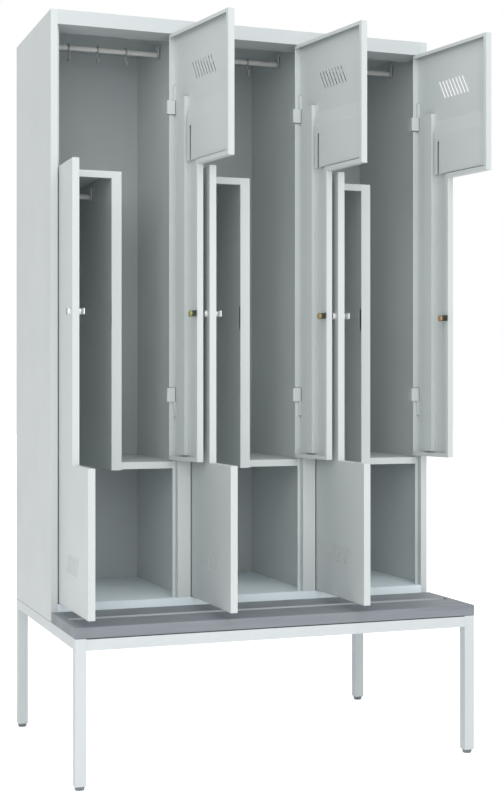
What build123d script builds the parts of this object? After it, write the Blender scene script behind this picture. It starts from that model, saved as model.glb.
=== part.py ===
from build123d import *

import os

# Bank of three tall lockers with interlocking L-shaped doors, on a stand with a bench.
# Millimetres, +Z up. The origin is on the floor at the centre of the footprint, and the
# doors face -Y. A door piece is drawn closed, for an upper door about x = 0. A lower door
# is the same piece turned half round about the middle of the opening.

# Overall sizes
column_count = 3
column_pitch = 400
cabinet_depth = 500
cabinet_height = 1755
stand_height = 405
bench_reach = 300
sheet = 1
overrun = 5

# Front frame, measured back from the cabinet's front face
middle_post = 40
bottom_rail_height = 51.5
top_rail_height = 41.5
stop_depth = 22
stop_width = 9
back_flange = 20
rail_return = 22
lintel_return = 100

# Compartments, about the middle of the opening
split_rise = 425
split_gap = 2.5
centre_gap = 3
divider_width = 30
tray_drop = 5
tray_height = 20
tray_return = 15
divider_below_shelf = 3

# Doors
hinge_gap = 3.5
latch_gap = 2.5
end_gap = 2.5
door_depth = 20
fold_radius = 1.5
side_lip = 12
top_lip = 10
corner_lip = 13
upper_open_angle = 100
lower_open_angle = 90
half_turn = 180

# Vents in a door's wide end
vent_count = 8
vent_pitch = 15.7
vent_width = 4.5
vent_height = 51
vent_lean = 28
vent_first = 110
vent_inset = 126

# Door stiffener: a hat rib, and a raised corner plate in the wide end
hat_start = 35
hat_foot = 10
hat_crest = 42
hat_depth = 15
hat_bottom_margin = 16
hat_top_margin = 194
corner_gap = 1
corner_margin = 17
corner_rise = 138
corner_slope = 45
corner_foot = 10
corner_depth = 12
corner_slot_inset = 15
corner_slot_width = 8
corner_slot_length = 101

# Hinges
pin_inset = 5
pin_radius = 2.5
pin_running = 0.05
knuckle_radius = 3.5
hinge_block_height = 40.5
hinge_block_width = 22
hinge_block_relief = 0.5
hinge_block_front = 3
hinge_block_foot = 3
upper_hinge_drop = 234
lower_hinge_rise = 172
sleeve_length = 42.5
sleeve_start = 0.5
sleeve_size = 8.5
sleeve_running = 0.3
notch_margin = 2

# Lock
lock_from_edge = 28
lock_barrel_radius = 9
lock_hole_clearance = 0.1
lock_head_radius = 10
lock_head_edge = 1
lock_head_proud = 8.5
lock_nut_flats = 24
lock_nut_depth = 4
rotor_radius = 5
rotor_running = 0.05
cam_gap = 1
key_slot_width = 1.2
key_slot_length = 6
key_slot_depth = 3
cam_cap_recess = 1.5
cam_reach = 32.5
cam_width = 17
cam_corner = 2
cam_slot_half_height = 34
cam_slot_clearance = 3

# The upper locks have a short barrel and a broad cap. The lower ones have a longer barrel,
# so that their cams pass behind the upper ones.
upper_barrel_end = 23
upper_cam_thickness = 2
upper_cap_radius = 10
upper_cap_depth = 2.8
lower_barrel_end = 31
lower_cam_thickness = 2.5
lower_cap_radius = 8
lower_cap_depth = 4

# Coat rails, their sockets and hooks
rail_radius = 8
rail_back = 250
upper_rail_drop = 5.7
lower_rail_drop = 47.5
socket_plate = 2
socket_width = 38
socket_height = 40
socket_below = 13
socket_reach = 10
socket_rim = 3
socket_wall = 3
hooks_per_rail = 3
hook_spacing = 90
hook_wire_radius = 2.5
hook_clearance = 0.4
hook_seat_gap = 0.1
hook_stem = 22
hook_bend_radius = 9
hook_tip_rise = 3
hook_ball_radius = 3.6

# Stand and bench
tube = 30
tube_wall = 2
foot_height = 11
foot_width = 22
foot_spread = 6
foot_plug = 18
front_rail_drop = 2
bench_back = 16
bench_overhang = 2
bench_thickness = 31
bench_edge_radius = 3
bench_slot_back = (139, 169)
bench_slot_end = 17
screw_radius = 2.5
screw_head_radius = 4.5
screw_head_height = 2.5
screw_bite = 20
screw_edge = 32
screw_clearance = 0.1

# Places worked out from the sizes
half_width = column_count * column_pitch / 2
front_y = (bench_reach - cabinet_depth) / 2
base_z = stand_height
top_z = base_z + cabinet_height
sill_z = base_z + bottom_rail_height
lintel_z = top_z - top_rail_height
mid_z = (sill_z + lintel_z) / 2
half_opening = (column_pitch - middle_post) / 2
back_inside = cabinet_depth - 2 * sheet
half_divider = divider_width / 2
half_post = middle_post / 2
hinge_edge = half_opening - hinge_gap
latch_edge = latch_gap - half_opening
free_edge = centre_gap / 2
pin_x = hinge_edge - pin_inset
door_top = lintel_z - end_gap
door_bottom = mid_z - split_rise + split_gap / 2
wide_bottom = mid_z + split_rise + split_gap / 2
lock_x = free_edge + lock_from_edge
corner_start = hat_start + 2 * hat_foot + hat_crest + corner_gap
lower_cam_end = lower_barrel_end + cam_gap + lower_cam_thickness
hinge_blocks_z = (door_top - upper_hinge_drop, mid_z - split_rise + lower_hinge_rise)


def slab(across, back, up):
    """Box from three (low, high) pairs: across, back from the cabinet's front, up."""
    size = [high - low for low, high in (across, back, up)]
    corner = Pos(across[0], front_y + back[0], up[0])
    return corner * Box(*size, align=(Align.MIN, Align.MIN, Align.MIN))


def rod(radius, start, length, axis):
    """Cylinder from a start point (across, back, up) along an axis name."""
    turn = {"X": Rot(0, 90, 0), "Y": Rot(-90, 0, 0), "Z": Rot(0, 0, 0)}[axis]
    place = Pos(start[0], front_y + start[1], start[2])
    grow = (Align.CENTER, Align.CENTER, Align.MIN)
    return place * turn * Cylinder(radius, length, align=grow)


def column_centre(column):
    """Middle of a column, counted from 0 at the left."""
    return (column + 1 / 2) * column_pitch - half_width


def column_inside(column):
    """Inner faces of the walls on the two sides of a column."""
    left = column_centre(column) - column_pitch / 2
    right = left + column_pitch
    left += sheet if column == 0 else sheet / 2
    right -= sheet if column == column_count - 1 else sheet / 2
    return left, right


def in_column(part, column, upper):
    """Put a closed door piece in its column."""
    turn = 0 if upper else half_turn
    return Pos(column_centre(column), 0, mid_z) * Rot(0, turn, 0) * Pos(0, 0, -mid_z) * part


def swung(part, column, upper):
    """Open a closed door piece about its hinge pins."""
    x = column_centre(column) + (pin_x if upper else -pin_x)
    y = front_y + pin_inset
    angle = upper_open_angle if upper else -lower_open_angle
    return Pos(x, y, 0) * Rot(0, 0, angle) * Pos(-x, -y, 0) * part


# Cabinet


def side_panel(right):
    """Side wall with the outer post and its door stop on the front, and a back flange."""
    outer = -half_width
    inner = outer + half_post
    wall = slab((outer, outer + sheet), (0, cabinet_depth), (base_z, top_z))
    face = slab((outer, inner), (0, sheet), (base_z, top_z))
    fold = slab((inner - sheet, inner), (0, stop_depth + sheet), (sill_z, lintel_z))
    stop = slab((inner - sheet, inner + stop_width), (stop_depth, stop_depth + sheet), (sill_z, lintel_z))
    flange = slab((outer, outer + back_flange), (cabinet_depth - sheet, cabinet_depth), (base_z, top_z))
    part = wall + face + fold + stop + flange
    return mirror(part, about=Plane.YZ) if right else part


def column_wall(index):
    """Wall between two columns, with the middle post and its two door stops."""
    x = column_centre(index) + column_pitch / 2
    height = (sill_z, lintel_z)
    part = slab((x - half_post, x + half_post), (0, sheet), height)
    part += slab((x - sheet / 2, x + sheet / 2), (0, stop_depth + sheet), height)
    part += slab((x - sheet / 2, x + sheet / 2), (stop_depth + sheet, back_inside), (sill_z, top_z - sheet))
    for side in (-1, 1):
        fold = sorted((x + side * half_post, x + side * (half_post - sheet)))
        stop = sorted((x + side * (half_post - sheet), x + side * (half_post + stop_width)))
        part += slab(fold, (0, stop_depth + sheet), height)
        part += slab(stop, (stop_depth, stop_depth + sheet), height)
    return part


def top_cover():
    """Top sheet with the top front rail, its return under it, and a back flange."""
    wide = half_width - sheet
    inner = half_width - half_post
    part = slab((-wide, wide), (sheet, cabinet_depth - sheet), (top_z - sheet, top_z))
    part += slab((-inner, inner), (0, sheet), (lintel_z, top_z))
    lintel = slab((-inner, inner), (0, lintel_return), (lintel_z, lintel_z + sheet))
    for index in range(column_count - 1):
        x = column_centre(index) + column_pitch / 2
        wall = (x - sheet / 2, x + sheet / 2)
        lintel -= slab(wall, (stop_depth + sheet, cabinet_depth), (base_z, top_z))
    part += lintel
    back = (cabinet_depth - sheet, cabinet_depth)
    part += slab((back_flange - half_width, half_width - back_flange), back, (top_z - back_flange, top_z))
    return part


def floor_panel():
    """Floor sheet with the bottom front rail and the returns that sit on the stand."""
    wide = half_width - sheet
    inner = half_width - half_post
    part = slab((-wide, wide), (sheet, back_inside), (sill_z - sheet, sill_z))
    part += slab((-inner, inner), (0, sheet), (base_z, sill_z))
    part += slab((-inner, inner), (0, rail_return), (base_z, base_z + sheet))
    part += slab((-inner, inner), (back_inside - sheet, back_inside), (base_z, sill_z))
    part += slab((-inner, inner), (back_inside - rail_return, back_inside), (base_z, base_z + sheet))
    return part


def back_panel():
    """Flat sheet in front of the back flanges."""
    wide = half_width - sheet
    return slab((-wide, wide), (back_inside, back_inside + sheet), (base_z, top_z - sheet))


def box_top_z():
    """Upper face of a box top."""
    return mid_z + split_rise - tray_drop


def shelf_z():
    """Upper face of a shelf."""
    return mid_z - split_rise - tray_drop


def divider(column):
    """Folded channel between the two narrow boxes, open at the back panel."""
    x = column_centre(column)
    bottom = shelf_z() - tray_height - divider_below_shelf
    top = box_top_z()
    part = slab((x - half_divider, x + half_divider), (stop_depth, back_inside), (bottom, top))
    hollow = half_divider - sheet
    part -= slab(
        (x - hollow, x + hollow),
        (stop_depth + sheet, back_inside + overrun),
        (bottom + sheet, top - sheet),
    )
    cam_band = (mid_z - cam_slot_half_height, mid_z + cam_slot_half_height)
    cam_depth = (stop_depth + sheet, lower_cam_end + cam_slot_clearance)
    part -= slab((x - divider_width, x + divider_width), cam_depth, cam_band)
    return part


def tray(inner_ends, face_ends, top):
    """Flat sheet with a front fold and its return: a box top or a shelf."""
    part = slab(inner_ends, (stop_depth + sheet, back_inside), (top - sheet, top))
    part += slab(face_ends, (stop_depth, stop_depth + sheet), (top - tray_height, top))
    low = (top - tray_height, top - tray_height + sheet)
    part += slab(face_ends, (stop_depth, stop_depth + tray_return), low)
    return part


def box_top(column):
    """Top of the narrow box on the left."""
    x = column_centre(column)
    left, right = column_inside(column)
    face = (x - half_opening + stop_width, x - half_divider)
    return tray((left, x - half_divider), face, box_top_z())


def shelf(column):
    """Bottom of the narrow box on the right."""
    x = column_centre(column)
    left, right = column_inside(column)
    face = (x + half_divider, x + half_opening - stop_width)
    return tray((x + half_divider, right), face, shelf_z())


# Coat rails


def rail_span(column, upper):
    """Faces that carry the two ends of a coat rail, and the rail's height."""
    left, right = column_inside(column)
    if upper:
        return left, right, lintel_z - upper_rail_drop
    return left, column_centre(column) - half_divider, box_top_z() - lower_rail_drop


def coat_rail(column, upper):
    """Round rail between its two sockets."""
    left, right, z = rail_span(column, upper)
    length = right - left - 2 * socket_plate
    return rod(rail_radius, (left + socket_plate, rail_back, z), length, "X")


def rail_socket(x, inward, z):
    """Wall plate, a cradle that is open at the top, and its rim; inward is 1 or -1."""
    low, high = z - socket_below, z - socket_below + socket_height
    plate_ends = sorted((x, x + inward * socket_plate))
    cradle_ends = sorted((x, x + inward * socket_reach))
    rim_ends = sorted((x + inward * (socket_reach - socket_rim), x + inward * socket_reach))
    cradle = rail_radius + socket_wall
    half = socket_width / 2
    part = slab(plate_ends, (rail_back - half, rail_back + half), (low, high))
    part += slab(rim_ends, (rail_back - half, rail_back + half), (low, high))
    part += slab(cradle_ends, (rail_back - cradle, rail_back + cradle), (z, high))
    part += rod(cradle, (cradle_ends[0], rail_back, z), socket_reach, "X")
    inner = sorted((x + inward * socket_plate, x + inward * (socket_reach + overrun)))
    part -= slab(inner, (rail_back - rail_radius, rail_back + rail_radius), (z, high + overrun))
    part -= rod(rail_radius, (inner[0], rail_back, z), inner[1] - inner[0], "X")
    return part


def coat_hook(column, place):
    """Ring on the long rail, with a stem, a forward bend and a ball at its tip."""
    left, right, rail_z = rail_span(column, True)
    x = column_centre(column) + (place - (hooks_per_rail - 1) / 2) * hook_spacing
    ring = rail_radius + hook_clearance + hook_wire_radius
    ring_z = rail_z - hook_clearance + hook_seat_gap
    y = front_y + rail_back
    part = Pos(x, y, ring_z) * Rot(0, 90, 0) * Torus(ring, hook_wire_radius)
    bend_z = ring_z - ring - hook_stem
    path = Line((x, y, ring_z - ring), (x, y, bend_z))
    path += CenterArc((0, 0, 0), hook_bend_radius, 0, half_turn).moved(
        Location((x, y - hook_bend_radius, bend_z), (0, 0, 1), 0) * Rot(0, 0, 90) * Rot(-90, 0, 0)
    )
    tip = (x, y - 2 * hook_bend_radius, bend_z)
    path += Line(tip, (x, y - 2 * hook_bend_radius, bend_z + hook_tip_rise))
    wire = Plane(origin=(x, y, ring_z - ring), z_dir=(0, 0, -1)) * Circle(hook_wire_radius)
    part += sweep(wire, path=path)
    part += Pos(x, y - 2 * hook_bend_radius, bend_z + hook_tip_rise) * Sphere(hook_ball_radius)
    return part


# Doors


def door_outline(hinge_side, free_side, latch_side, bottom, corner, top):
    """Flat L, wide at the top, moved in from the door's edges by six margins."""
    right = hinge_edge - hinge_side
    points = [
        (right, door_bottom + bottom),
        (free_edge + free_side, door_bottom + bottom),
        (free_edge + free_side, wide_bottom + corner),
        (latch_edge + latch_side, wide_bottom + corner),
        (latch_edge + latch_side, door_top - top),
        (right, door_top - top),
    ]
    return make_face(Polyline(*points, close=True))


def plate(outline, start, end):
    """Flat outline in x and z, made solid between two depths."""
    on = Plane(origin=(0, front_y + start, 0), x_dir=(1, 0, 0), z_dir=(0, -1, 0))
    return extrude(on * outline, amount=-(end - start))


def vent_slots():
    """Row of leaning slots through the skin of the wide end."""
    length = (vent_lean**2 + vent_height**2) ** (1 / 2)
    middle = door_top - vent_inset
    cuts = Part()
    for number in range(vent_count):
        head = hinge_edge - vent_first - number * vent_pitch
        ends = [(head, middle + vent_height / 2), (head - vent_lean, middle - vent_height / 2)]
        across = Vector(vent_height, -vent_lean) * (vent_width / 2 / length)
        sides = [Vector(*ends[0]) + across, Vector(*ends[0]) - across]
        sides += [Vector(*ends[1]) - across, Vector(*ends[1]) + across]
        slot = make_face(Polyline(*[(v.X, v.Y) for v in sides], close=True))
        slot += [Pos(*end) * Circle(vent_width / 2) for end in ends]
        cuts += plate(slot, -overrun, sheet + overrun)
    return cuts


def hinge_zones():
    """For each hinge: the block's ends, then the ends of the door's sleeve beside it."""
    zones = []
    for low, above in zip(hinge_blocks_z, (True, False)):
        high = low + hinge_block_height
        near = high + sleeve_running if above else low - sleeve_running
        far = near + (sleeve_length if above else -sleeve_length)
        zones.append((low, high, min(near, far), max(near, far)))
    return zones


def door_pan():
    """Folded L-shaped pan with its vents, lock hole, hinge notches and hinge sleeves."""
    pan = plate(door_outline(0, 0, 0, 0, 0, 0), 0, door_depth)
    front_edges = pan.faces().sort_by(Axis.Y)[0].edges()
    pan = fillet(front_edges, fold_radius)
    inside = door_outline(sheet, sheet, sheet, sheet, sheet, sheet)
    pan -= plate(inside, sheet, door_depth - sheet)
    mouth = door_outline(sheet, side_lip, side_lip, side_lip, corner_lip, top_lip)
    pan -= plate(mouth, door_depth - 2 * sheet, door_depth + overrun)
    pan -= vent_slots()
    hole = lock_barrel_radius + lock_hole_clearance
    pan -= rod(hole, (lock_x, -overrun, mid_z), 2 * overrun, "Y")
    near = hinge_edge - sleeve_start
    for low, high, sleeve_low, sleeve_high in hinge_zones():
        cut_low = low - (sleeve_running if sleeve_low < low else notch_margin)
        cut_high = high + (notch_margin if sleeve_low < low else sleeve_running)
        notch = (hinge_edge - notch_margin, hinge_edge + overrun)
        pan -= slab(notch, (sheet, door_depth + overrun), (cut_low, cut_high))
        sleeve_back = (sleeve_start, sleeve_start + sleeve_size)
        pan += slab((near - sleeve_size, near), sleeve_back, (sleeve_low, sleeve_high))
        bore_start = (pin_x, pin_inset, sleeve_low - overrun)
        pan -= rod(pin_radius + pin_running, bore_start, sleeve_length + 2 * overrun, "Z")
    return pan


def profile_across(points, ends):
    """Outline in x and depth, made solid between two heights."""
    face = make_face(Polyline(*[(x, front_y + back) for x, back in points], close=True))
    return Pos(0, 0, ends[0]) * extrude(face, amount=ends[1] - ends[0])


def hat_rib():
    """Long hat-shaped rib whose feet lie on the inside of the skin."""
    start = hinge_edge - hat_start
    crest = start - hat_foot
    end = crest - hat_crest
    back = sheet + sheet
    outer = hat_depth
    points = [
        (start, sheet),
        (start, back),
        (crest, back),
        (crest, outer),
        (end, outer),
        (end, back),
        (end - hat_foot, back),
        (end - hat_foot, sheet),
        (end + sheet, sheet),
        (end + sheet, outer - sheet),
        (crest - sheet, outer - sheet),
        (crest - sheet, sheet),
    ]
    return profile_across(points, (door_bottom + hat_bottom_margin, door_top - hat_top_margin))


def corner_plate():
    """Raised plate above the lip of the wide end's corner, sloping back to the skin at its top."""
    low = wide_bottom + corner_margin
    crisp = wide_bottom + corner_rise
    end = crisp + corner_slope
    outer = [
        (low, sheet),
        (low, corner_depth),
        (crisp, corner_depth),
        (end, sheet + sheet),
        (end + corner_foot, sheet + sheet),
        (end + corner_foot, sheet),
    ]
    slope = corner_slope / (corner_depth - 2 * sheet)
    inner = [
        (low - overrun, -overrun),
        (low - overrun, corner_depth - sheet),
        (crisp - sheet / 2, corner_depth - sheet),
        (end - sheet / 2 - slope * sheet / 2, sheet + sheet / 2),
        (end - sheet / 2, sheet),
        (end - sheet / 2, -overrun),
    ]
    right = hinge_edge - corner_start
    left = latch_edge + sheet
    part = profile_along(outer, (left, right))
    part -= profile_along(inner, (left - overrun, right - sheet))
    slot_right = right - corner_slot_inset
    part -= slab(
        (slot_right - corner_slot_width, slot_right),
        (corner_depth - 2 * sheet, corner_depth + overrun),
        (low - overrun, low + corner_slot_length),
    )
    return part


def profile_along(points, ends):
    """Outline in z and depth, made solid between two places across."""
    on = Plane(origin=(ends[0], 0, 0), x_dir=(0, 0, 1), z_dir=(1, 0, 0))
    face = make_face(Polyline(*[(z, -(front_y + back)) for z, back in points], close=True))
    return extrude(on * face, amount=ends[1] - ends[0])


def lock_body(upper):
    """Lock barrel with its round head, and the nut that clamps it to the skin."""
    barrel_end = upper_barrel_end if upper else lower_barrel_end
    head = rod(lock_head_radius, (lock_x, -lock_head_proud, mid_z), lock_head_proud, "Y")
    head = chamfer(head.edges().sort_by(Axis.Y)[0], lock_head_edge)
    barrel = head + rod(lock_barrel_radius, (lock_x, 0, mid_z), barrel_end, "Y")
    bore_start = (lock_x, -lock_head_proud - overrun, mid_z)
    bore_length = lock_head_proud + barrel_end + 2 * overrun
    barrel -= rod(rotor_radius + rotor_running, bore_start, bore_length, "Y")
    shape = Pos(lock_x, mid_z) * RegularPolygon(lock_nut_flats / 2, 6, major_radius=False)
    nut = plate(shape, sheet, sheet + lock_nut_depth)
    nut -= rod(lock_barrel_radius, (lock_x, 0, mid_z), barrel_end, "Y")
    return [barrel, nut]


def lock_cam(upper):
    """Rotor with its key slot, the cam that points to the free edge, and the cap on it."""
    front = -lock_head_proud
    if upper:
        cam_start, cam_thickness = upper_barrel_end + cam_gap, upper_cam_thickness
        cap_radius, cap_depth = upper_cap_radius, upper_cap_depth
    else:
        cam_start, cam_thickness = lower_barrel_end + cam_gap, lower_cam_thickness
        cap_radius, cap_depth = lower_cap_radius, lower_cap_depth
    cam_end = cam_start + cam_thickness
    cap_end = cam_end + cap_depth
    rotor = rod(rotor_radius, (lock_x, front, mid_z), cam_end - front, "Y")
    slot_across = (lock_x - key_slot_width / 2, lock_x + key_slot_width / 2)
    slot_up = (mid_z - key_slot_length / 2, mid_z + key_slot_length / 2)
    rotor -= slab(slot_across, (front - overrun, front + key_slot_depth), slot_up)
    half = cam_width / 2
    round_end = Pos(lock_x, mid_z) * Circle(half)
    square_end = Pos(lock_x - cam_reach + half, mid_z) * RectangleRounded(cam_width, cam_width, cam_corner)
    arm = make_hull((round_end + square_end).edges())
    rotor += plate(arm, cam_start, cam_end)
    rotor += rod(cap_radius, (lock_x, cam_end, mid_z), cap_depth, "Y")
    for turn in (half_turn / 4, -half_turn / 4):
        recess = Pos(lock_x, mid_z) * Rot(0, 0, turn) * Rectangle(cap_radius, 2 * key_slot_width)
        rotor -= plate(recess, cap_end - cam_cap_recess, cap_end + overrun)
    return rotor


def hinge_block(zone):
    """Block with its foot on the door stop, and a round knuckle about the pin."""
    low, high, sleeve_low, sleeve_high = zone
    inner = pin_x - hinge_block_relief
    depth = (pin_inset - hinge_block_front, stop_depth)
    part = slab((inner - hinge_block_width, inner), depth, (low, high))
    foot = (stop_depth - hinge_block_foot, stop_depth)
    part += slab((inner - hinge_block_width, hinge_edge), foot, (low, high))
    part += rod(knuckle_radius, (pin_x, pin_inset, low), high - low, "Z")
    part -= rod(pin_radius, (pin_x, pin_inset, low - overrun), high - low + 2 * overrun, "Z")
    return part


def hinge_pin(zone):
    """Pin held in its block and running in the door's sleeve."""
    low, high = min(zone[0], zone[2]), max(zone[1], zone[3])
    return rod(pin_radius, (pin_x, pin_inset, low), high - low, "Z")


# Stand and bench


def leg_back():
    """Front faces of the front and rear legs, back from the cabinet's front."""
    return -bench_reach, cabinet_depth - tube


def bench_back_ends():
    """Front and back edges of the bench board."""
    return -bench_reach, -bench_back


def screw_backs():
    """Places of the bench screws, back from the cabinet's front."""
    front, rear = bench_back_ends()
    slot_front, slot_rear = -bench_slot_back[1], -bench_slot_back[0]
    behind_leg = leg_back()[0] + tube + screw_edge
    return [behind_leg, slot_front - screw_edge, slot_rear + screw_edge, rear - screw_edge]


def stand_side(right):
    """Two legs of square tube, each closed at its top, and the rail between them."""
    outer = -half_width
    ends = (outer, outer + tube)
    inner = (outer + tube_wall, outer + tube - tube_wall)
    hollow = tube - 2 * tube_wall
    front, rear = leg_back()
    solids = []
    for back in (front, rear):
        leg = slab(ends, (back, back + tube), (foot_height, base_z))
        leg_hollow = (back + tube_wall, back + tube_wall + hollow)
        leg -= slab(inner, leg_hollow, (foot_height - overrun, base_z - tube_wall))
        solids.append(leg)
    rail = slab(ends, (front + tube, rear), (base_z - tube, base_z))
    rail_hollow = (front + tube - overrun, rear + overrun)
    rail -= slab(inner, rail_hollow, (base_z - tube + tube_wall, base_z - tube_wall))
    for back in screw_backs():
        start = (outer + tube / 2, back, base_z - tube - overrun)
        rail -= rod(screw_radius + screw_clearance, start, tube + 2 * overrun, "Z")
    solids.append(rail)
    return [mirror(solid, about=Plane.YZ) if right else solid for solid in solids]


def stand_rail(back, top):
    """Square tube across the stand, open at its ends."""
    reach = half_width - tube
    part = slab((-reach, reach), (back, back + tube), (top - tube, top))
    part -= slab(
        (-reach - overrun, reach + overrun),
        (back + tube_wall, back + tube - tube_wall),
        (top - tube + tube_wall, top - tube_wall),
    )
    return part


def bench_board():
    """Board with eased edges, a long slot that parts it in two planks, and screw holes."""
    reach = half_width + bench_overhang
    part = slab((-reach, reach), bench_back_ends(), (base_z, base_z + bench_thickness))
    part = fillet(part.edges(), bench_edge_radius)
    gap = (bench_slot_end - reach, reach - bench_slot_end)
    gap_back = (-bench_slot_back[1], -bench_slot_back[0])
    part -= slab(gap, gap_back, (base_z - overrun, base_z + bench_thickness + overrun))
    for side in (-1, 1):
        for place in screw_backs():
            x = side * (half_width - tube / 2)
            part -= rod(screw_radius, (x, place, base_z - overrun), screw_bite + overrun, "Z")
    return part


def bench_screw(side, place):
    """Screw from under the side rail into the board."""
    x = side * (half_width - tube / 2)
    start = base_z - tube
    part = rod(screw_radius, (x, place, start), tube + screw_bite, "Z")
    return part + rod(screw_head_radius, (x, place, start - screw_head_height), screw_head_height, "Z")


def stand_foot(side, back):
    """Eight-sided foot that widens upward, with a plug inside the leg."""
    x = side * (half_width - tube / 2)
    y = front_y + back + tube / 2
    turn = half_turn / 8
    low = Pos(x, y, 0) * Rot(0, 0, turn) * RegularPolygon(foot_width / 2, 8, major_radius=False)
    high_radius = (foot_width + foot_spread) / 2
    high = Pos(x, y, foot_height) * Rot(0, 0, turn) * RegularPolygon(high_radius, 8, major_radius=False)
    part = loft([low, high])
    hollow = tube - 2 * tube_wall
    half = hollow / 2
    middle = back + tube / 2
    part += slab((x - half, x + half), (middle - half, middle + half), (foot_height, foot_height + foot_plug))
    return part


# Every node, by name


def save(name, *solids):
    """Write one node, made of one or more solids."""
    node = solids[0] if len(solids) == 1 else Compound(children=list(solids))
    node.label = name
    export_step(node, os.path.join("parts", name + ".step"))


os.makedirs("parts", exist_ok=True)
columns = range(column_count)
save("side_panel_left", side_panel(False))
save("side_panel_right", side_panel(True))
save("back_panel", back_panel())
save("top_cover", top_cover())
save("floor_panel", floor_panel())
for index in range(column_count - 1):
    save(f"column_wall_{index + 1}", column_wall(index))
for column in columns:
    save(f"divider_{column + 1}", divider(column))
    save(f"box_top_{column + 1}", box_top(column))
    save(f"shelf_{column + 1}", shelf(column))

save("coat_rails_upper", *[coat_rail(column, True) for column in columns])
save("coat_rails_lower", *[coat_rail(column, False) for column in columns])
sockets = []
for column in columns:
    for upper in (True, False):
        left, right, z = rail_span(column, upper)
        sockets += [rail_socket(left, 1, z), rail_socket(right, -1, z)]
    for place in range(hooks_per_rail):
        save(f"coat_hook_{column + 1}_{place + 1}", coat_hook(column, place))
save("rail_sockets", *sockets)

pan, hat, corner = door_pan(), hat_rib(), corner_plate()
blocks, pins = [], []
for upper, word in ((True, "upper"), (False, "lower")):
    barrel, nut = lock_body(upper)
    cam = lock_cam(upper)
    for column in columns:
        name = f"door_{word}_{column + 1}"
        for tail, pieces in (
            ("pan", [pan]),
            ("stiffener", [hat, corner]),
            ("lock_body", [barrel, nut]),
            ("lock_cam", [cam]),
        ):
            placed = [in_column(piece, column, upper) for piece in pieces]
            save(f"{name}_{tail}", *[swung(piece, column, upper) for piece in placed])
        for zone in hinge_zones():
            blocks.append(in_column(hinge_block(zone), column, upper))
            pins.append(in_column(hinge_pin(zone), column, upper))
save("hinge_blocks", *blocks)
save("hinge_pins", *pins)

save("stand_side_left", *stand_side(False))
save("stand_side_right", *stand_side(True))
leg_front, leg_rear = leg_back()
front_rail = stand_rail(leg_front, base_z - front_rail_drop)
save("stand_rails", front_rail, *[stand_rail(back, base_z) for back in (0, leg_rear)])
save("bench_board", bench_board())
save("stand_feet", *[stand_foot(side, back) for side in (-1, 1) for back in leg_back()])
save("bench_screws", *[bench_screw(side, place) for side in (-1, 1) for place in screw_backs()])
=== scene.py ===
import math

import bmesh
import bpy
import numpy as np
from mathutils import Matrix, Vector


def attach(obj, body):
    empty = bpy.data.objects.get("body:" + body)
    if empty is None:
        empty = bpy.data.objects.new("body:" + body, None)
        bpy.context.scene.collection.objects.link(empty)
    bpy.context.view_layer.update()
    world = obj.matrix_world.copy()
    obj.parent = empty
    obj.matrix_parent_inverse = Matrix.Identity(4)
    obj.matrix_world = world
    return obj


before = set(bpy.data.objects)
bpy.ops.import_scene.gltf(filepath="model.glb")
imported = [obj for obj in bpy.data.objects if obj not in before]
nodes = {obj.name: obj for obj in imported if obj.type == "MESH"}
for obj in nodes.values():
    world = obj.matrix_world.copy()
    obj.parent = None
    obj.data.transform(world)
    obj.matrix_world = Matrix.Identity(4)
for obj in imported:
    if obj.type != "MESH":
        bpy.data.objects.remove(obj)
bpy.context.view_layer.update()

# The lockers, their doors and their bench stand, dressed for the camera.
# Metres, +Z up, doors facing -Y, origin on the floor under the middle of the feet.

# Places that the pieces below are set on, in millimetres as on the drawing
MM = 0.001
base_z, mid_z, top_z = 405.0, 1287.5, 2160.0
bench_y, front_y, back_y = -400.0, -100.0, 400.0
half_width = 600.0
tube = 30.0
column_x = (-400.0, 0.0, 400.0)
open_angle = {"upper": 100.0, "lower": -90.0}
pin_x, pin_back = 171.5, 5.0
lock_x, lock_face = 29.5, -8.5

# Rear face of the slot in the bench, where the bench finish paints light, in metres as the finish
# reads it
slot_rear = -0.239


# Finishes


def srgb(red, green, blue):
    """Colour as seen on screen, 0 to 255, turned to the linear values that shaders use."""
    seen = np.array([red, green, blue]) / 255
    linear = np.where(seen <= 0.04045, seen / 12.92, ((seen + 0.055) / 1.055) ** 2.4)
    return (*linear.tolist(), 1.0)


def new_finish(name, colour, roughness, metallic=0.0, specular=0.5):
    """Shader with its even values on its own sockets; returns the material and its node tools."""
    material = bpy.data.materials.new(name)
    material.use_nodes = True
    tree = material.node_tree
    shader = tree.nodes["Principled BSDF"]
    shader.inputs["Base Color"].default_value = colour
    shader.inputs["Roughness"].default_value = roughness
    shader.inputs["Metallic"].default_value = metallic
    shader.inputs["Specular IOR Level"].default_value = specular
    place = tree.nodes.new("ShaderNodeTexCoord")
    return material, tree, shader, place.outputs["Object"]


def noise(tree, place, scale, detail=2.0, roughness=0.5, stretch=(1, 1, 1)):
    """Noise on object coordinates, with so many blotches a metre, drawn out by stretch."""
    turn = tree.nodes.new("ShaderNodeMapping")
    turn.inputs["Scale"].default_value = stretch
    tree.links.new(place, turn.inputs["Vector"])
    grain = tree.nodes.new("ShaderNodeTexNoise")
    grain.inputs["Scale"].default_value = scale
    grain.inputs["Detail"].default_value = detail
    grain.inputs["Roughness"].default_value = roughness
    tree.links.new(turn.outputs["Vector"], grain.inputs["Vector"])
    return grain.outputs["Fac"]


def spread(tree, value, low, high, start=0.3, end=0.7):
    """A value between start and end, laid out from low to high."""
    ranged = tree.nodes.new("ShaderNodeMapRange")
    ranged.inputs["From Min"].default_value = start
    ranged.inputs["From Max"].default_value = end
    ranged.inputs["To Min"].default_value = low
    ranged.inputs["To Max"].default_value = high
    tree.links.new(value, ranged.inputs["Value"])
    return ranged.outputs["Result"]


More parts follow.
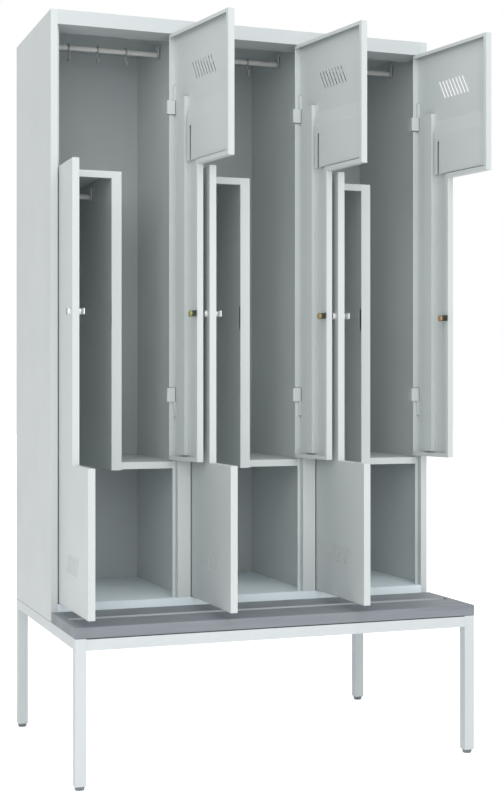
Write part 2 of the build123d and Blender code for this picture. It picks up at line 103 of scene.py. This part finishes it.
def blend_colours(tree, factor, first, second):
    """Colour between two colours, each plain or linked, by a factor."""
    mix = tree.nodes.new("ShaderNodeMix")
    mix.data_type = "RGBA"
    tree.links.new(factor, mix.inputs["Factor"])
    for side, colour in (("A", first), ("B", second)):
        socket = next(s for s in mix.inputs if s.name == side and s.type == "RGBA")
        if isinstance(colour, tuple):
            socket.default_value = colour
        else:
            tree.links.new(colour, socket)
    return next(s for s in mix.outputs if s.type == "RGBA")


def clouded(tree, place, scale, light, dark, most=1.0):
    """Colour that drifts in soft clouds from light towards dark, as far as most allows."""
    clouds = spread(tree, noise(tree, place, scale, 3.0), 0.0, most)
    return blend_colours(tree, clouds, light, dark)


def rubbed(tree, shader, grain, low, high):
    """Roughness that follows a grain from low to high."""
    tree.links.new(spread(tree, grain, low, high), shader.inputs["Roughness"])


def bump(tree, shader, height, strength, distance, after=None):
    """Relief from a height, on top of an earlier relief."""
    relief = tree.nodes.new("ShaderNodeBump")
    relief.inputs["Strength"].default_value = strength
    relief.inputs["Distance"].default_value = distance
    tree.links.new(height, relief.inputs["Height"])
    if after is not None:
        tree.links.new(after, relief.inputs["Normal"])
    tree.links.new(relief.outputs["Normal"], shader.inputs["Normal"])
    return relief.outputs["Normal"]


def crevices(tree, reach):
    """Mask for painted shade: 1 in tight gaps, 0 from the openness of a plain corner up, within a
    reach in metres.
    """
    tight, plain_corner = 0.08, 0.5
    closed = tree.nodes.new("ShaderNodeAmbientOcclusion")
    closed.samples = 6
    closed.inputs["Distance"].default_value = reach
    return spread(tree, closed.outputs["AO"], 1.0, 0.0, tight, plain_corner)


def powder_coat(name, light, dark, crevice_shade, roughness):
    """Powder coat: even pale grey with faint clouds, painted shade in its corners and tight gaps,
    fine orange peel.
    """
    light, dark, crevice_shade = (srgb(*tone) for tone in (light, dark, crevice_shade))
    material, tree, shader, place = new_finish(name, light, roughness, specular=0.3)
    coat = clouded(tree, place, 2.2, light, dark)
    # Painted shade: the coat darkens towards the crevice-shade tone in corners and tight gaps
    crevice_shaded = blend_colours(tree, crevices(tree, 0.012), coat, crevice_shade)
    tree.links.new(crevice_shaded, shader.inputs["Base Color"])
    rubbed(tree, shader, noise(tree, place, 7.0, 4.0), roughness - 0.05, roughness + 0.07)
    bump(tree, shader, noise(tree, place, 620.0, 2.0), 0.10, 0.0003)
    return material


def bench_finish():
    """Matt grey boards: long faint streaks, fine tooth, painted shade in corners and gaps, and
    painted light on the rear face of the slot.
    """
    light, dark, crevice_shade, slot_light = (
        srgb(*tone) for tone in ((137, 143, 149), (126, 132, 138), (100, 105, 110), (178, 183, 187))
    )
    material, tree, shader, place = new_finish("bench_board", light, 0.55, specular=0.3)
    streaks = spread(tree, noise(tree, place, 26.0, 5.0, 0.6, (0.12, 1.6, 1.6)), 0.0, 1.0)
    grain = blend_colours(tree, streaks, light, dark)
    # Painted shade: the boards darken towards the crevice-shade tone in corners and tight gaps
    crevice_shaded = blend_colours(tree, crevices(tree, 0.008), grain, crevice_shade)
    apart = tree.nodes.new("ShaderNodeSeparateXYZ")
    tree.links.new(place, apart.inputs["Vector"])
    back = apart.outputs["Y"]
    # Painted light: the rear face of the slot, which lies in shade, is painted pale
    before = spread(tree, back, 0.0, 1.0, slot_rear - 0.0008, slot_rear - 0.0002)
    behind = spread(tree, back, 1.0, 0.0, slot_rear + 0.0008, slot_rear + 0.0014)
    slot_face = tree.nodes.new("ShaderNodeMath")
    slot_face.operation = "MULTIPLY"
    tree.links.new(before, slot_face.inputs[0])
    tree.links.new(behind, slot_face.inputs[1])
    slot_lit = blend_colours(tree, slot_face.outputs[0], crevice_shaded, slot_light)
    tree.links.new(slot_lit, shader.inputs["Base Color"])
    rubbed(tree, shader, noise(tree, place, 9.0, 4.0), 0.46, 0.62)
    fibres = noise(tree, place, 60.0, 5.0, 0.6, (0.08, 1.4, 1.4))
    long_grain = bump(tree, shader, fibres, 0.2, 0.0006)
    bump(tree, shader, noise(tree, place, 900.0, 2.0), 0.15, 0.0002, long_grain)
    return material


def plated_finish(name, light, dark, roughness):
    """Plated or turned metal: dull clouds, and fine marks all over."""
    light, dark = srgb(*light), srgb(*dark)
    material, tree, shader, place = new_finish(name, light, roughness, metallic=1.0)
    tree.links.new(clouded(tree, place, 45.0, light, dark), shader.inputs["Base Color"])
    marks = noise(tree, place, 300.0, 3.0, 0.6)
    rubbed(tree, shader, marks, roughness - 0.06, roughness + 0.1)
    bump(tree, shader, marks, 0.12, 0.0002)
    return material


def satin_finish(name, light, dark, roughness, metallic):
    """Satin plate that scatters part of its light, with faint clouds and a fine tooth."""
    light, dark = srgb(*light), srgb(*dark)
    material, tree, shader, place = new_finish(name, light, roughness, metallic, specular=0.6)
    tree.links.new(clouded(tree, place, 90.0, light, dark), shader.inputs["Base Color"])
    tooth = noise(tree, place, 900.0, 2.0)
    rubbed(tree, shader, tooth, roughness - 0.05, roughness + 0.08)
    bump(tree, shader, tooth, 0.08, 0.0002)
    return material


def brass_finish(name, tone):
    """Dull brass, darker where it is rubbed in clouds, with fine marks all over."""
    light, dark = srgb(*tone), srgb(*(0.86 * level for level in tone))
    material, tree, shader, place = new_finish(name, light, 0.38, metallic=0.45, specular=0.6)
    tree.links.new(clouded(tree, place, 160.0, light, dark, 0.6), shader.inputs["Base Color"])
    marks = noise(tree, place, 500.0, 3.0, 0.6)
    rubbed(tree, shader, marks, 0.32, 0.46)
    bump(tree, shader, marks, 0.12, 0.0002)
    return material


def foot_finish():
    """Moulded grey plastic with a fine grain."""
    light, dark = srgb(128, 133, 138), srgb(116, 121, 126)
    material, tree, shader, place = new_finish("foot_plastic", light, 0.5, specular=0.4)
    tree.links.new(clouded(tree, place, 40.0, light, dark), shader.inputs["Base Color"])
    bump(tree, shader, noise(tree, place, 1100.0, 2.0), 0.25, 0.0003)
    return material


# Powder coats: light, dark and crevice-shade tone as seen on screen, and roughness; the
# crevice-shade tone is painted shade in corners and tight gaps
locker_paint = powder_coat(
    "locker_paint", (204, 210, 210), (200, 206, 206), (150, 156, 158), 0.45
)
stand_paint = powder_coat("stand_paint", (207, 213, 215), (203, 209, 211), (176, 182, 186), 0.42)
# Painted light: a lighter copy of the locker paint for the column walls and dividers that stand in
# the doors' shade
wall_painted_light = powder_coat("wall_painted_light", (210, 216, 216), (206, 212, 212), (154, 160, 162), 0.45)
# Painted shade: a darker copy of the locker paint for the top cover and back panel inside the
# columns
cover_painted_shade = powder_coat("cover_painted_shade", (197, 203, 204), (193, 199, 200), (146, 152, 154), 0.45)
# Painted light: a much lighter copy of the locker paint on the floor panel, whose front sill lies
# in the bench's shade
sill_painted_light = powder_coat("sill_painted_light", (233, 244, 249), (229, 240, 245), (176, 184, 188), 0.45)
# Painted shade: a dark copy of the locker paint for the strips in the cabinet's joints
seam_shade = powder_coat("seam_shade", (132, 138, 142), (120, 126, 130), (104, 110, 114), 0.6)

# Board, metals and plastic: light and dark tone as seen on screen, and roughness
bench_board = bench_finish()
rail_plate = satin_finish("rail_plate", (226, 227, 224), (218, 219, 216), 0.5, 0.0)
hook_plate = satin_finish("hook_plate", (176, 178, 176), (156, 158, 156), 0.42, 0.3)
lock_chrome = satin_finish("lock_chrome", (236, 237, 238), (226, 228, 230), 0.38, 0.35)
# Painted shade: a dark copy of the lock metal for the face ring, which lies in shade
lock_face_shade = plated_finish("lock_face_shade", (122, 126, 130), (104, 108, 112), 0.30)
cam_zinc = plated_finish("cam_zinc", (132, 134, 122), (110, 112, 100), 0.34)
lock_brass = [
    brass_finish(f"lock_brass_{column + 1}", tone)
    for column, tone in enumerate(((186, 184, 124), (196, 176, 120), (204, 166, 128)))
]
screw_plate = plated_finish("screw_plate", (190, 192, 193), (176, 178, 180), 0.35)
foot_plastic = foot_finish()

finish_of = {
    "coat_rails_upper": rail_plate,
    "coat_rails_lower": rail_plate,
    "top_cover": cover_painted_shade,
    "back_panel": cover_painted_shade,
    "column_wall_1": wall_painted_light,
    "column_wall_2": wall_painted_light,
    "divider_2": wall_painted_light,
    "divider_3": wall_painted_light,
    "floor_panel": sill_painted_light,
    "stand_side_left": stand_paint,
    "stand_side_right": stand_paint,
    "stand_rails": stand_paint,
    "bench_board": bench_board,
    "stand_feet": foot_plastic,
    "bench_screws": screw_plate,
    "hinge_pins": screw_plate,
}


def finish_for(node):
    """Finish of a CAD node by its name."""
    if node in finish_of:
        return finish_of[node]
    if node.startswith("coat_hook"):
        return hook_plate
    if node.endswith("lock_body"):
        return lock_chrome
    if node.endswith("lock_cam"):
        return cam_zinc if "upper" in node else lock_chrome
    return locker_paint


for name, node in nodes.items():
    node.data.materials.clear()
    node.data.materials.append(finish_for(name))


# Small pieces: surfaces worked out on grids, in millimetres


def hung(points, column, word):
    """Door points (across from the column's middle, back, up) taken to where the door hangs."""
    across, back, up = points[..., 0], points[..., 1], points[..., 2]
    if word == "lower":
        across, up = -across, 2 * mid_z - up
    side = 1 if word == "upper" else -1
    angle = math.radians(open_angle[word])
    out_x, out_y = across - side * pin_x, back - pin_back
    x = column_x[column] + side * pin_x + out_x * math.cos(angle) - out_y * math.sin(angle)
    y = front_y + pin_back + out_x * math.sin(angle) + out_y * math.cos(angle)
    return np.stack([x, y, up], -1)


def skin(name, grids, body, finish):
    """Mesh over closed grids (pieces, steps, round, 3) in mm whose second way runs in a ring."""
    count, steps, ring = grids.shape[:3]
    index = np.arange(count * steps * ring).reshape(count, steps, ring)
    index = np.concatenate([index, index[:, :, :1]], 2)
    corners = [index[:, :-1, :-1], index[:, :-1, 1:], index[:, 1:, 1:], index[:, 1:, :-1]]
    quads = np.stack(corners, -1).reshape(-1, 4)
    mesh = bpy.data.meshes.new(name)
    mesh.vertices.add(index[:, :, :-1].size)
    mesh.vertices.foreach_set("co", (grids * MM).astype(np.float32).ravel())
    mesh.loops.add(quads.size)
    mesh.loops.foreach_set("vertex_index", quads.astype(np.int32).ravel())
    mesh.polygons.add(len(quads))
    mesh.polygons.foreach_set("loop_start", np.arange(0, quads.size, 4, dtype=np.int32))
    mesh.update(calc_edges=True)
    shell = bmesh.new()
    shell.from_mesh(mesh)
    bmesh.ops.remove_doubles(shell, verts=shell.verts, dist=1e-6)
    bmesh.ops.recalc_face_normals(shell, faces=shell.faces)
    shell.to_mesh(mesh)
    shell.free()
    mesh.shade_smooth()
    piece = bpy.data.objects.new(name, mesh)
    bpy.context.scene.collection.objects.link(piece)
    mesh.materials.append(finish)
    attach(piece, body)


def turned(profile, centres, axis, right, ring):
    """Turned pieces: each profile point (radius, height) carried round the axis at each centre."""
    axis, right = np.array(axis, float), np.array(right, float)
    ahead = np.cross(axis, right)
    angle = np.arange(ring) * (2 * math.pi / ring)
    spoke = np.cos(angle)[:, None] * right + np.sin(angle)[:, None] * ahead
    radius, height = np.array(profile, float).T
    shape = radius[:, None, None] * spoke + height[:, None, None] * axis
    return np.array(centres, float)[:, None, None, :] + shape


def carried(starts, ends, out, along, wide, high):
    """Loops carried on lines: at each share of the run, wide times across plus high times out."""
    starts, ends, out = (np.array(v, float) for v in (starts, ends, out))
    run = ends - starts
    across = np.cross(run / np.linalg.norm(run, axis=-1, keepdims=True), out)
    line = starts[:, None, None, :] + run[:, None, None, :] * along[:, None, None]
    sideways = wide[..., None] * across[:, None, None, :]
    outward = high[..., None] * out[:, None, None, :]
    return line + sideways + outward


def weld_bead(starts, ends, out, width, height, ripples):
    """Weld bead: a half-ellipse carried along a line, swelling in ripples, closed at its ends."""
    steps_a_ripple, ring, ripple, sunk = 6, 10, 0.14, 0.3
    along = np.linspace(0, 1, steps_a_ripple * ripples + 1)
    taper = np.sqrt(np.clip(1 - abs(2 * along - 1) ** 12, 0, 1))
    swell = taper * (1 + ripple * np.cos(2 * math.pi * ripples * along))
    angle = np.arange(ring) * (2 * math.pi / ring)
    rise = np.where(np.sin(angle) > 0, np.sin(angle), sunk * np.sin(angle))
    wide = (0.5 * width * swell)[:, None] * np.cos(angle)
    high = (height * swell)[:, None] * rise
    return carried(starts, ends, out, along, wide, high)


def seam_strip(starts, ends, out, width, height):
    """Narrow strip: a flat eight-sided loop carried along a line, drawn in at both ends."""
    along = np.array([0, 0, 0.002, 0.5, 0.998, 1, 1])
    swell = np.array([0, 0.8, 1, 1, 1, 0.8, 0])
    angle = np.arange(8) * (math.pi / 4) + math.pi / 8
    to_corner = 0.54
    wide = (to_corner * width * swell)[:, None] * np.cos(angle)
    high = (to_corner * height * swell)[:, None] * np.sin(angle)
    return carried(starts, ends, out, along, wide, high)


# Profiles of the turned pieces, as radius and height in mm
# Lock face: a ring with a raised rim round the rotor, in the darker metal of painted shade
rim = [(5.15, 0.5), (5.15, -0.1), (5.6, -0.25), (7.4, -0.2), (7.9, -0.25), (8.3, -0.7)]
rim += [(8.7, -0.8), (9.1, -0.6), (9.3, 0.0), (9.2, 0.5), (5.15, 0.5)]
# Cap of an upper cam: a low dome on the end of the rotor
cap_dome = [(0, 25.8), (10.15, 25.8), (10.2, 27.2), (9.9, 28.4), (9.0, 29.5), (7.4, 30.3)]
cap_dome += [(5.0, 30.8), (2.4, 31.05), (0, 31.1)]
# Spot weld: a shallow ring pressed in the sheet
spot = [(0, -0.3), (3.1, -0.3), (3.1, 0.0), (2.8, 0.14), (2.4, 0.16), (2.0, 0.06)]
spot += [(1.0, 0.02), (0, 0.03)]
# Head of a hinge pin: a low dome
pin_dome = [(0, -0.6), (2.2, -0.6), (2.2, 0.15), (3.5, 0.15), (3.6, 0.6), (3.1, 1.2)]
pin_dome += [(1.8, 1.6), (0, 1.75)]

# Each door: its lock face, the cap of an upper lock, and spot welds down both feet of its rib
rib_feet = (136.5, 84.5)
rib_low, rib_high, rib_margin = 863.75, 1913.5, 20
foot_face = 2.0
spot_rows = np.linspace(rib_low + rib_margin, rib_high - rib_margin, 13)

for word in ("upper", "lower"):
    for column in range(3):
        door = f"door_{word}_{column + 1}"
        ring = turned(rim, [(lock_x, lock_face, mid_z)], (0, 1, 0), (1, 0, 0), 48)
        skin(f"{door}_lock_face", hung(ring, column, word), door, lock_face_shade)
        if word == "upper":
            dome = turned(cap_dome, [(lock_x, 0, mid_z)], (0, 1, 0), (1, 0, 0), 48)
            skin(f"{door}_cam_cap", hung(dome, column, word), f"lock_cam_{word}_{column + 1}",
                 lock_brass[column])
        centres = [(x, foot_face, z) for x in rib_feet for z in spot_rows]
        spots = turned(spot, centres, (0, 1, 0), (1, 0, 0), 16)
        skin(f"{door}_spot_welds", hung(spots, column, word), door, locker_paint)

# Heads of the hinge pins, a hair above the sleeves' ends, and the same below the blocks.
# Each end of an upper door's pins has its height and the way it faces, 1 up or -1 down.
pin_ends = ((1965.3, 1), (1882.0, -1), (991.7, -1), (1075.0, 1))
for up, name in ((1, "pin_heads_up"), (-1, "pin_heads_down")):
    of_upper = [z for z, way in pin_ends if way == up]
    of_lower = [2 * mid_z - z for z, way in pin_ends if way == -up]
    places = []
    for middle in column_x:
        places += [(middle + pin_x, front_y + pin_back, z) for z in of_upper]
        places += [(middle - pin_x, front_y + pin_back, z) for z in of_lower]
    domes = turned(pin_dome, places, (0, 0, up), (1, 0, 0), 20)
    skin(name, domes, "cabinet", screw_plate)

# Weld beads of the stand, dressed nearly flat where legs and rails meet.
# They stop short of the tubes' edges, and in front they keep clear of the board.
bead_inset, bead_drop, slant = 1.5, 2.0, 0.7071
starts, ends, outs = [], [], []
for side in (-1, 1):
    inner, outer = side * (half_width - tube), side * half_width
    for x, y, out in (
        (inner, bench_y, (0, -1, 0)),
        (outer, bench_y + tube, (side, 0, 0)),
        (outer, back_y - tube, (side, 0, 0)),
        (inner, back_y, (0, 1, 0)),
        (inner, front_y, (-side * slant, -slant, 0)),
        (inner, front_y + tube, (-side * slant, slant, 0)),
    ):
        drop = bead_drop if y == bench_y else 0.0
        starts.append((x, y, base_z - tube + bead_inset - drop))
        ends.append((x, y, base_z - bead_inset - drop))
        outs.append(out)
beads = weld_bead(starts, ends, outs, width=4.6, height=0.45, ripples=9)
skin("stand_welds", beads, "cabinet", stand_paint)

# Painted shade: dark strips that stand for the shadow in the joints where the cabinet's sides and
# back stand on the tubes
seam_inset = 1.0
seam_front, seam_back = front_y + seam_inset, back_y - seam_inset
seam_x = half_width - tube - seam_inset
lines = [
    ((side * half_width, seam_front, base_z), (side * half_width, seam_back, base_z), (side, 0, 0))
    for side in (-1, 1)
]
lines += [((-seam_x, back_y, base_z), (seam_x, back_y, base_z), (0, 1, 0))]
seams = seam_strip(*zip(*lines), width=1.7, height=0.5)
skin("cabinet_seam_shade", seams, "cabinet", seam_shade)

# Spot welds of the back panel, down both sides and along the top
flange, row_margin, top_reach = 10.0, 60, 520
side_rows = np.linspace(base_z + row_margin, top_z - row_margin, 12)
rows = [(side * (half_width - flange), back_y, z) for side in (-1, 1) for z in side_rows]
rows += [(x, back_y, top_z - flange) for x in np.linspace(-top_reach, top_reach, 9)]
backs = turned(spot, rows, (0, 1, 0), (1, 0, 0), 16)
skin("back_spot_welds", backs, "cabinet", locker_paint)


# Camera, at the photograph's place

camera = bpy.data.objects.new("camera", bpy.data.cameras.new("camera"))
bpy.context.scene.collection.objects.link(camera)
bpy.context.scene.camera = camera
camera.location = (-1.49062, -4.12758, 1.0724)
camera.rotation_euler = (math.pi / 2, 0, -0.3471)
camera.data.sensor_width = 36
camera.data.lens = 64.397
camera.data.shift_x = 0.01861
camera.data.shift_y = -0.01389
camera.data.clip_start = 0.05
camera.data.clip_end = 100


# White room: floor, sky and lamps

bpy.context.scene.view_settings.view_transform = "Standard"


def seen_directly(tree):
    """1 where the camera, a mirror or glass looks at the surface, and 0 for its light."""
    path = tree.nodes.new("ShaderNodeLightPath")
    seen = path.outputs["Is Camera Ray"]
    for way in ("Is Glossy Ray", "Is Transmission Ray"):
        either = tree.nodes.new("ShaderNodeMath")
        either.operation = "MAXIMUM"
        tree.links.new(seen, either.inputs[0])
        tree.links.new(path.outputs[way], either.inputs[1])
        seen = either.outputs[0]
    return seen


def two_strengths(tree, socket, giving, seen):
    """Strength of a glow: one for the light that it gives, and one where it is seen directly."""
    strength = tree.nodes.new("ShaderNodeMapRange")
    strength.inputs["To Min"].default_value = giving
    strength.inputs["To Max"].default_value = seen
    tree.links.new(seen_directly(tree), strength.inputs["Value"])
    tree.links.new(strength.outputs["Result"], socket)


def white_sky(light):
    """Even white light of a given strength, seen as plain white."""
    world = bpy.data.worlds.new("sky")
    bpy.context.scene.world = world
    world.use_nodes = True
    back = world.node_tree.nodes["Background"]
    back.inputs["Color"].default_value = (1, 1, 1, 1)
    two_strengths(world.node_tree, back.inputs["Strength"], light, 1.0)


def floor_sheet(half, glow):
    """Flat square floor that is white where it is lit and keeps the shadows."""
    mesh = bpy.data.meshes.new("floor")
    corners = np.array([[-1, -1, 0], [1, -1, 0], [1, 1, 0], [-1, 1, 0]]) * half
    mesh.from_pydata(corners.tolist(), [], [(0, 1, 2, 3)])
    floor = bpy.data.objects.new("floor", mesh)
    bpy.context.scene.collection.objects.link(floor)
    material, tree, shader, _ = new_finish("floor_white", (0.93, 0.93, 0.93, 1), 0.9, specular=0.0)
    shader.inputs["Emission Color"].default_value = (1, 1, 1, 1)
    two_strengths(tree, shader.inputs["Emission Strength"], 0.0, glow)
    mesh.materials.append(material)


def soft_lamp(name, place, target, power):
    """Square lamp, 3 m wide, that faces a target."""
    data = bpy.data.lights.new(name, "AREA")
    data.shape = "SQUARE"
    data.size = 3.0
    data.energy = power
    lamp = bpy.data.objects.new(name, data)
    bpy.context.scene.collection.objects.link(lamp)
    lamp.location = place
    aim = Vector(target) - Vector(place)
    lamp.rotation_euler = aim.to_track_quat("-Z", "Y").to_euler()


white_sky(light=0.71)
floor_sheet(half=30.0, glow=0.52)
cabinet_heart = (0, 0, 1.2)
soft_lamp("left_lamp", (-3.2, -5.0, 3.0), cabinet_heart, 78)
soft_lamp("high_lamp", (0, -3.5, 5.5), (0, 0, 1.0), 78)
soft_lamp("front_lamp", (0.2, -6.5, 1.4), cabinet_heart, 25)
soft_lamp("right_lamp", (0.6, -5.5, 3.6), cabinet_heart, 22)
soft_lamp("low_lamp", (-3.6, -5.0, 1.0), cabinet_heart, 14)
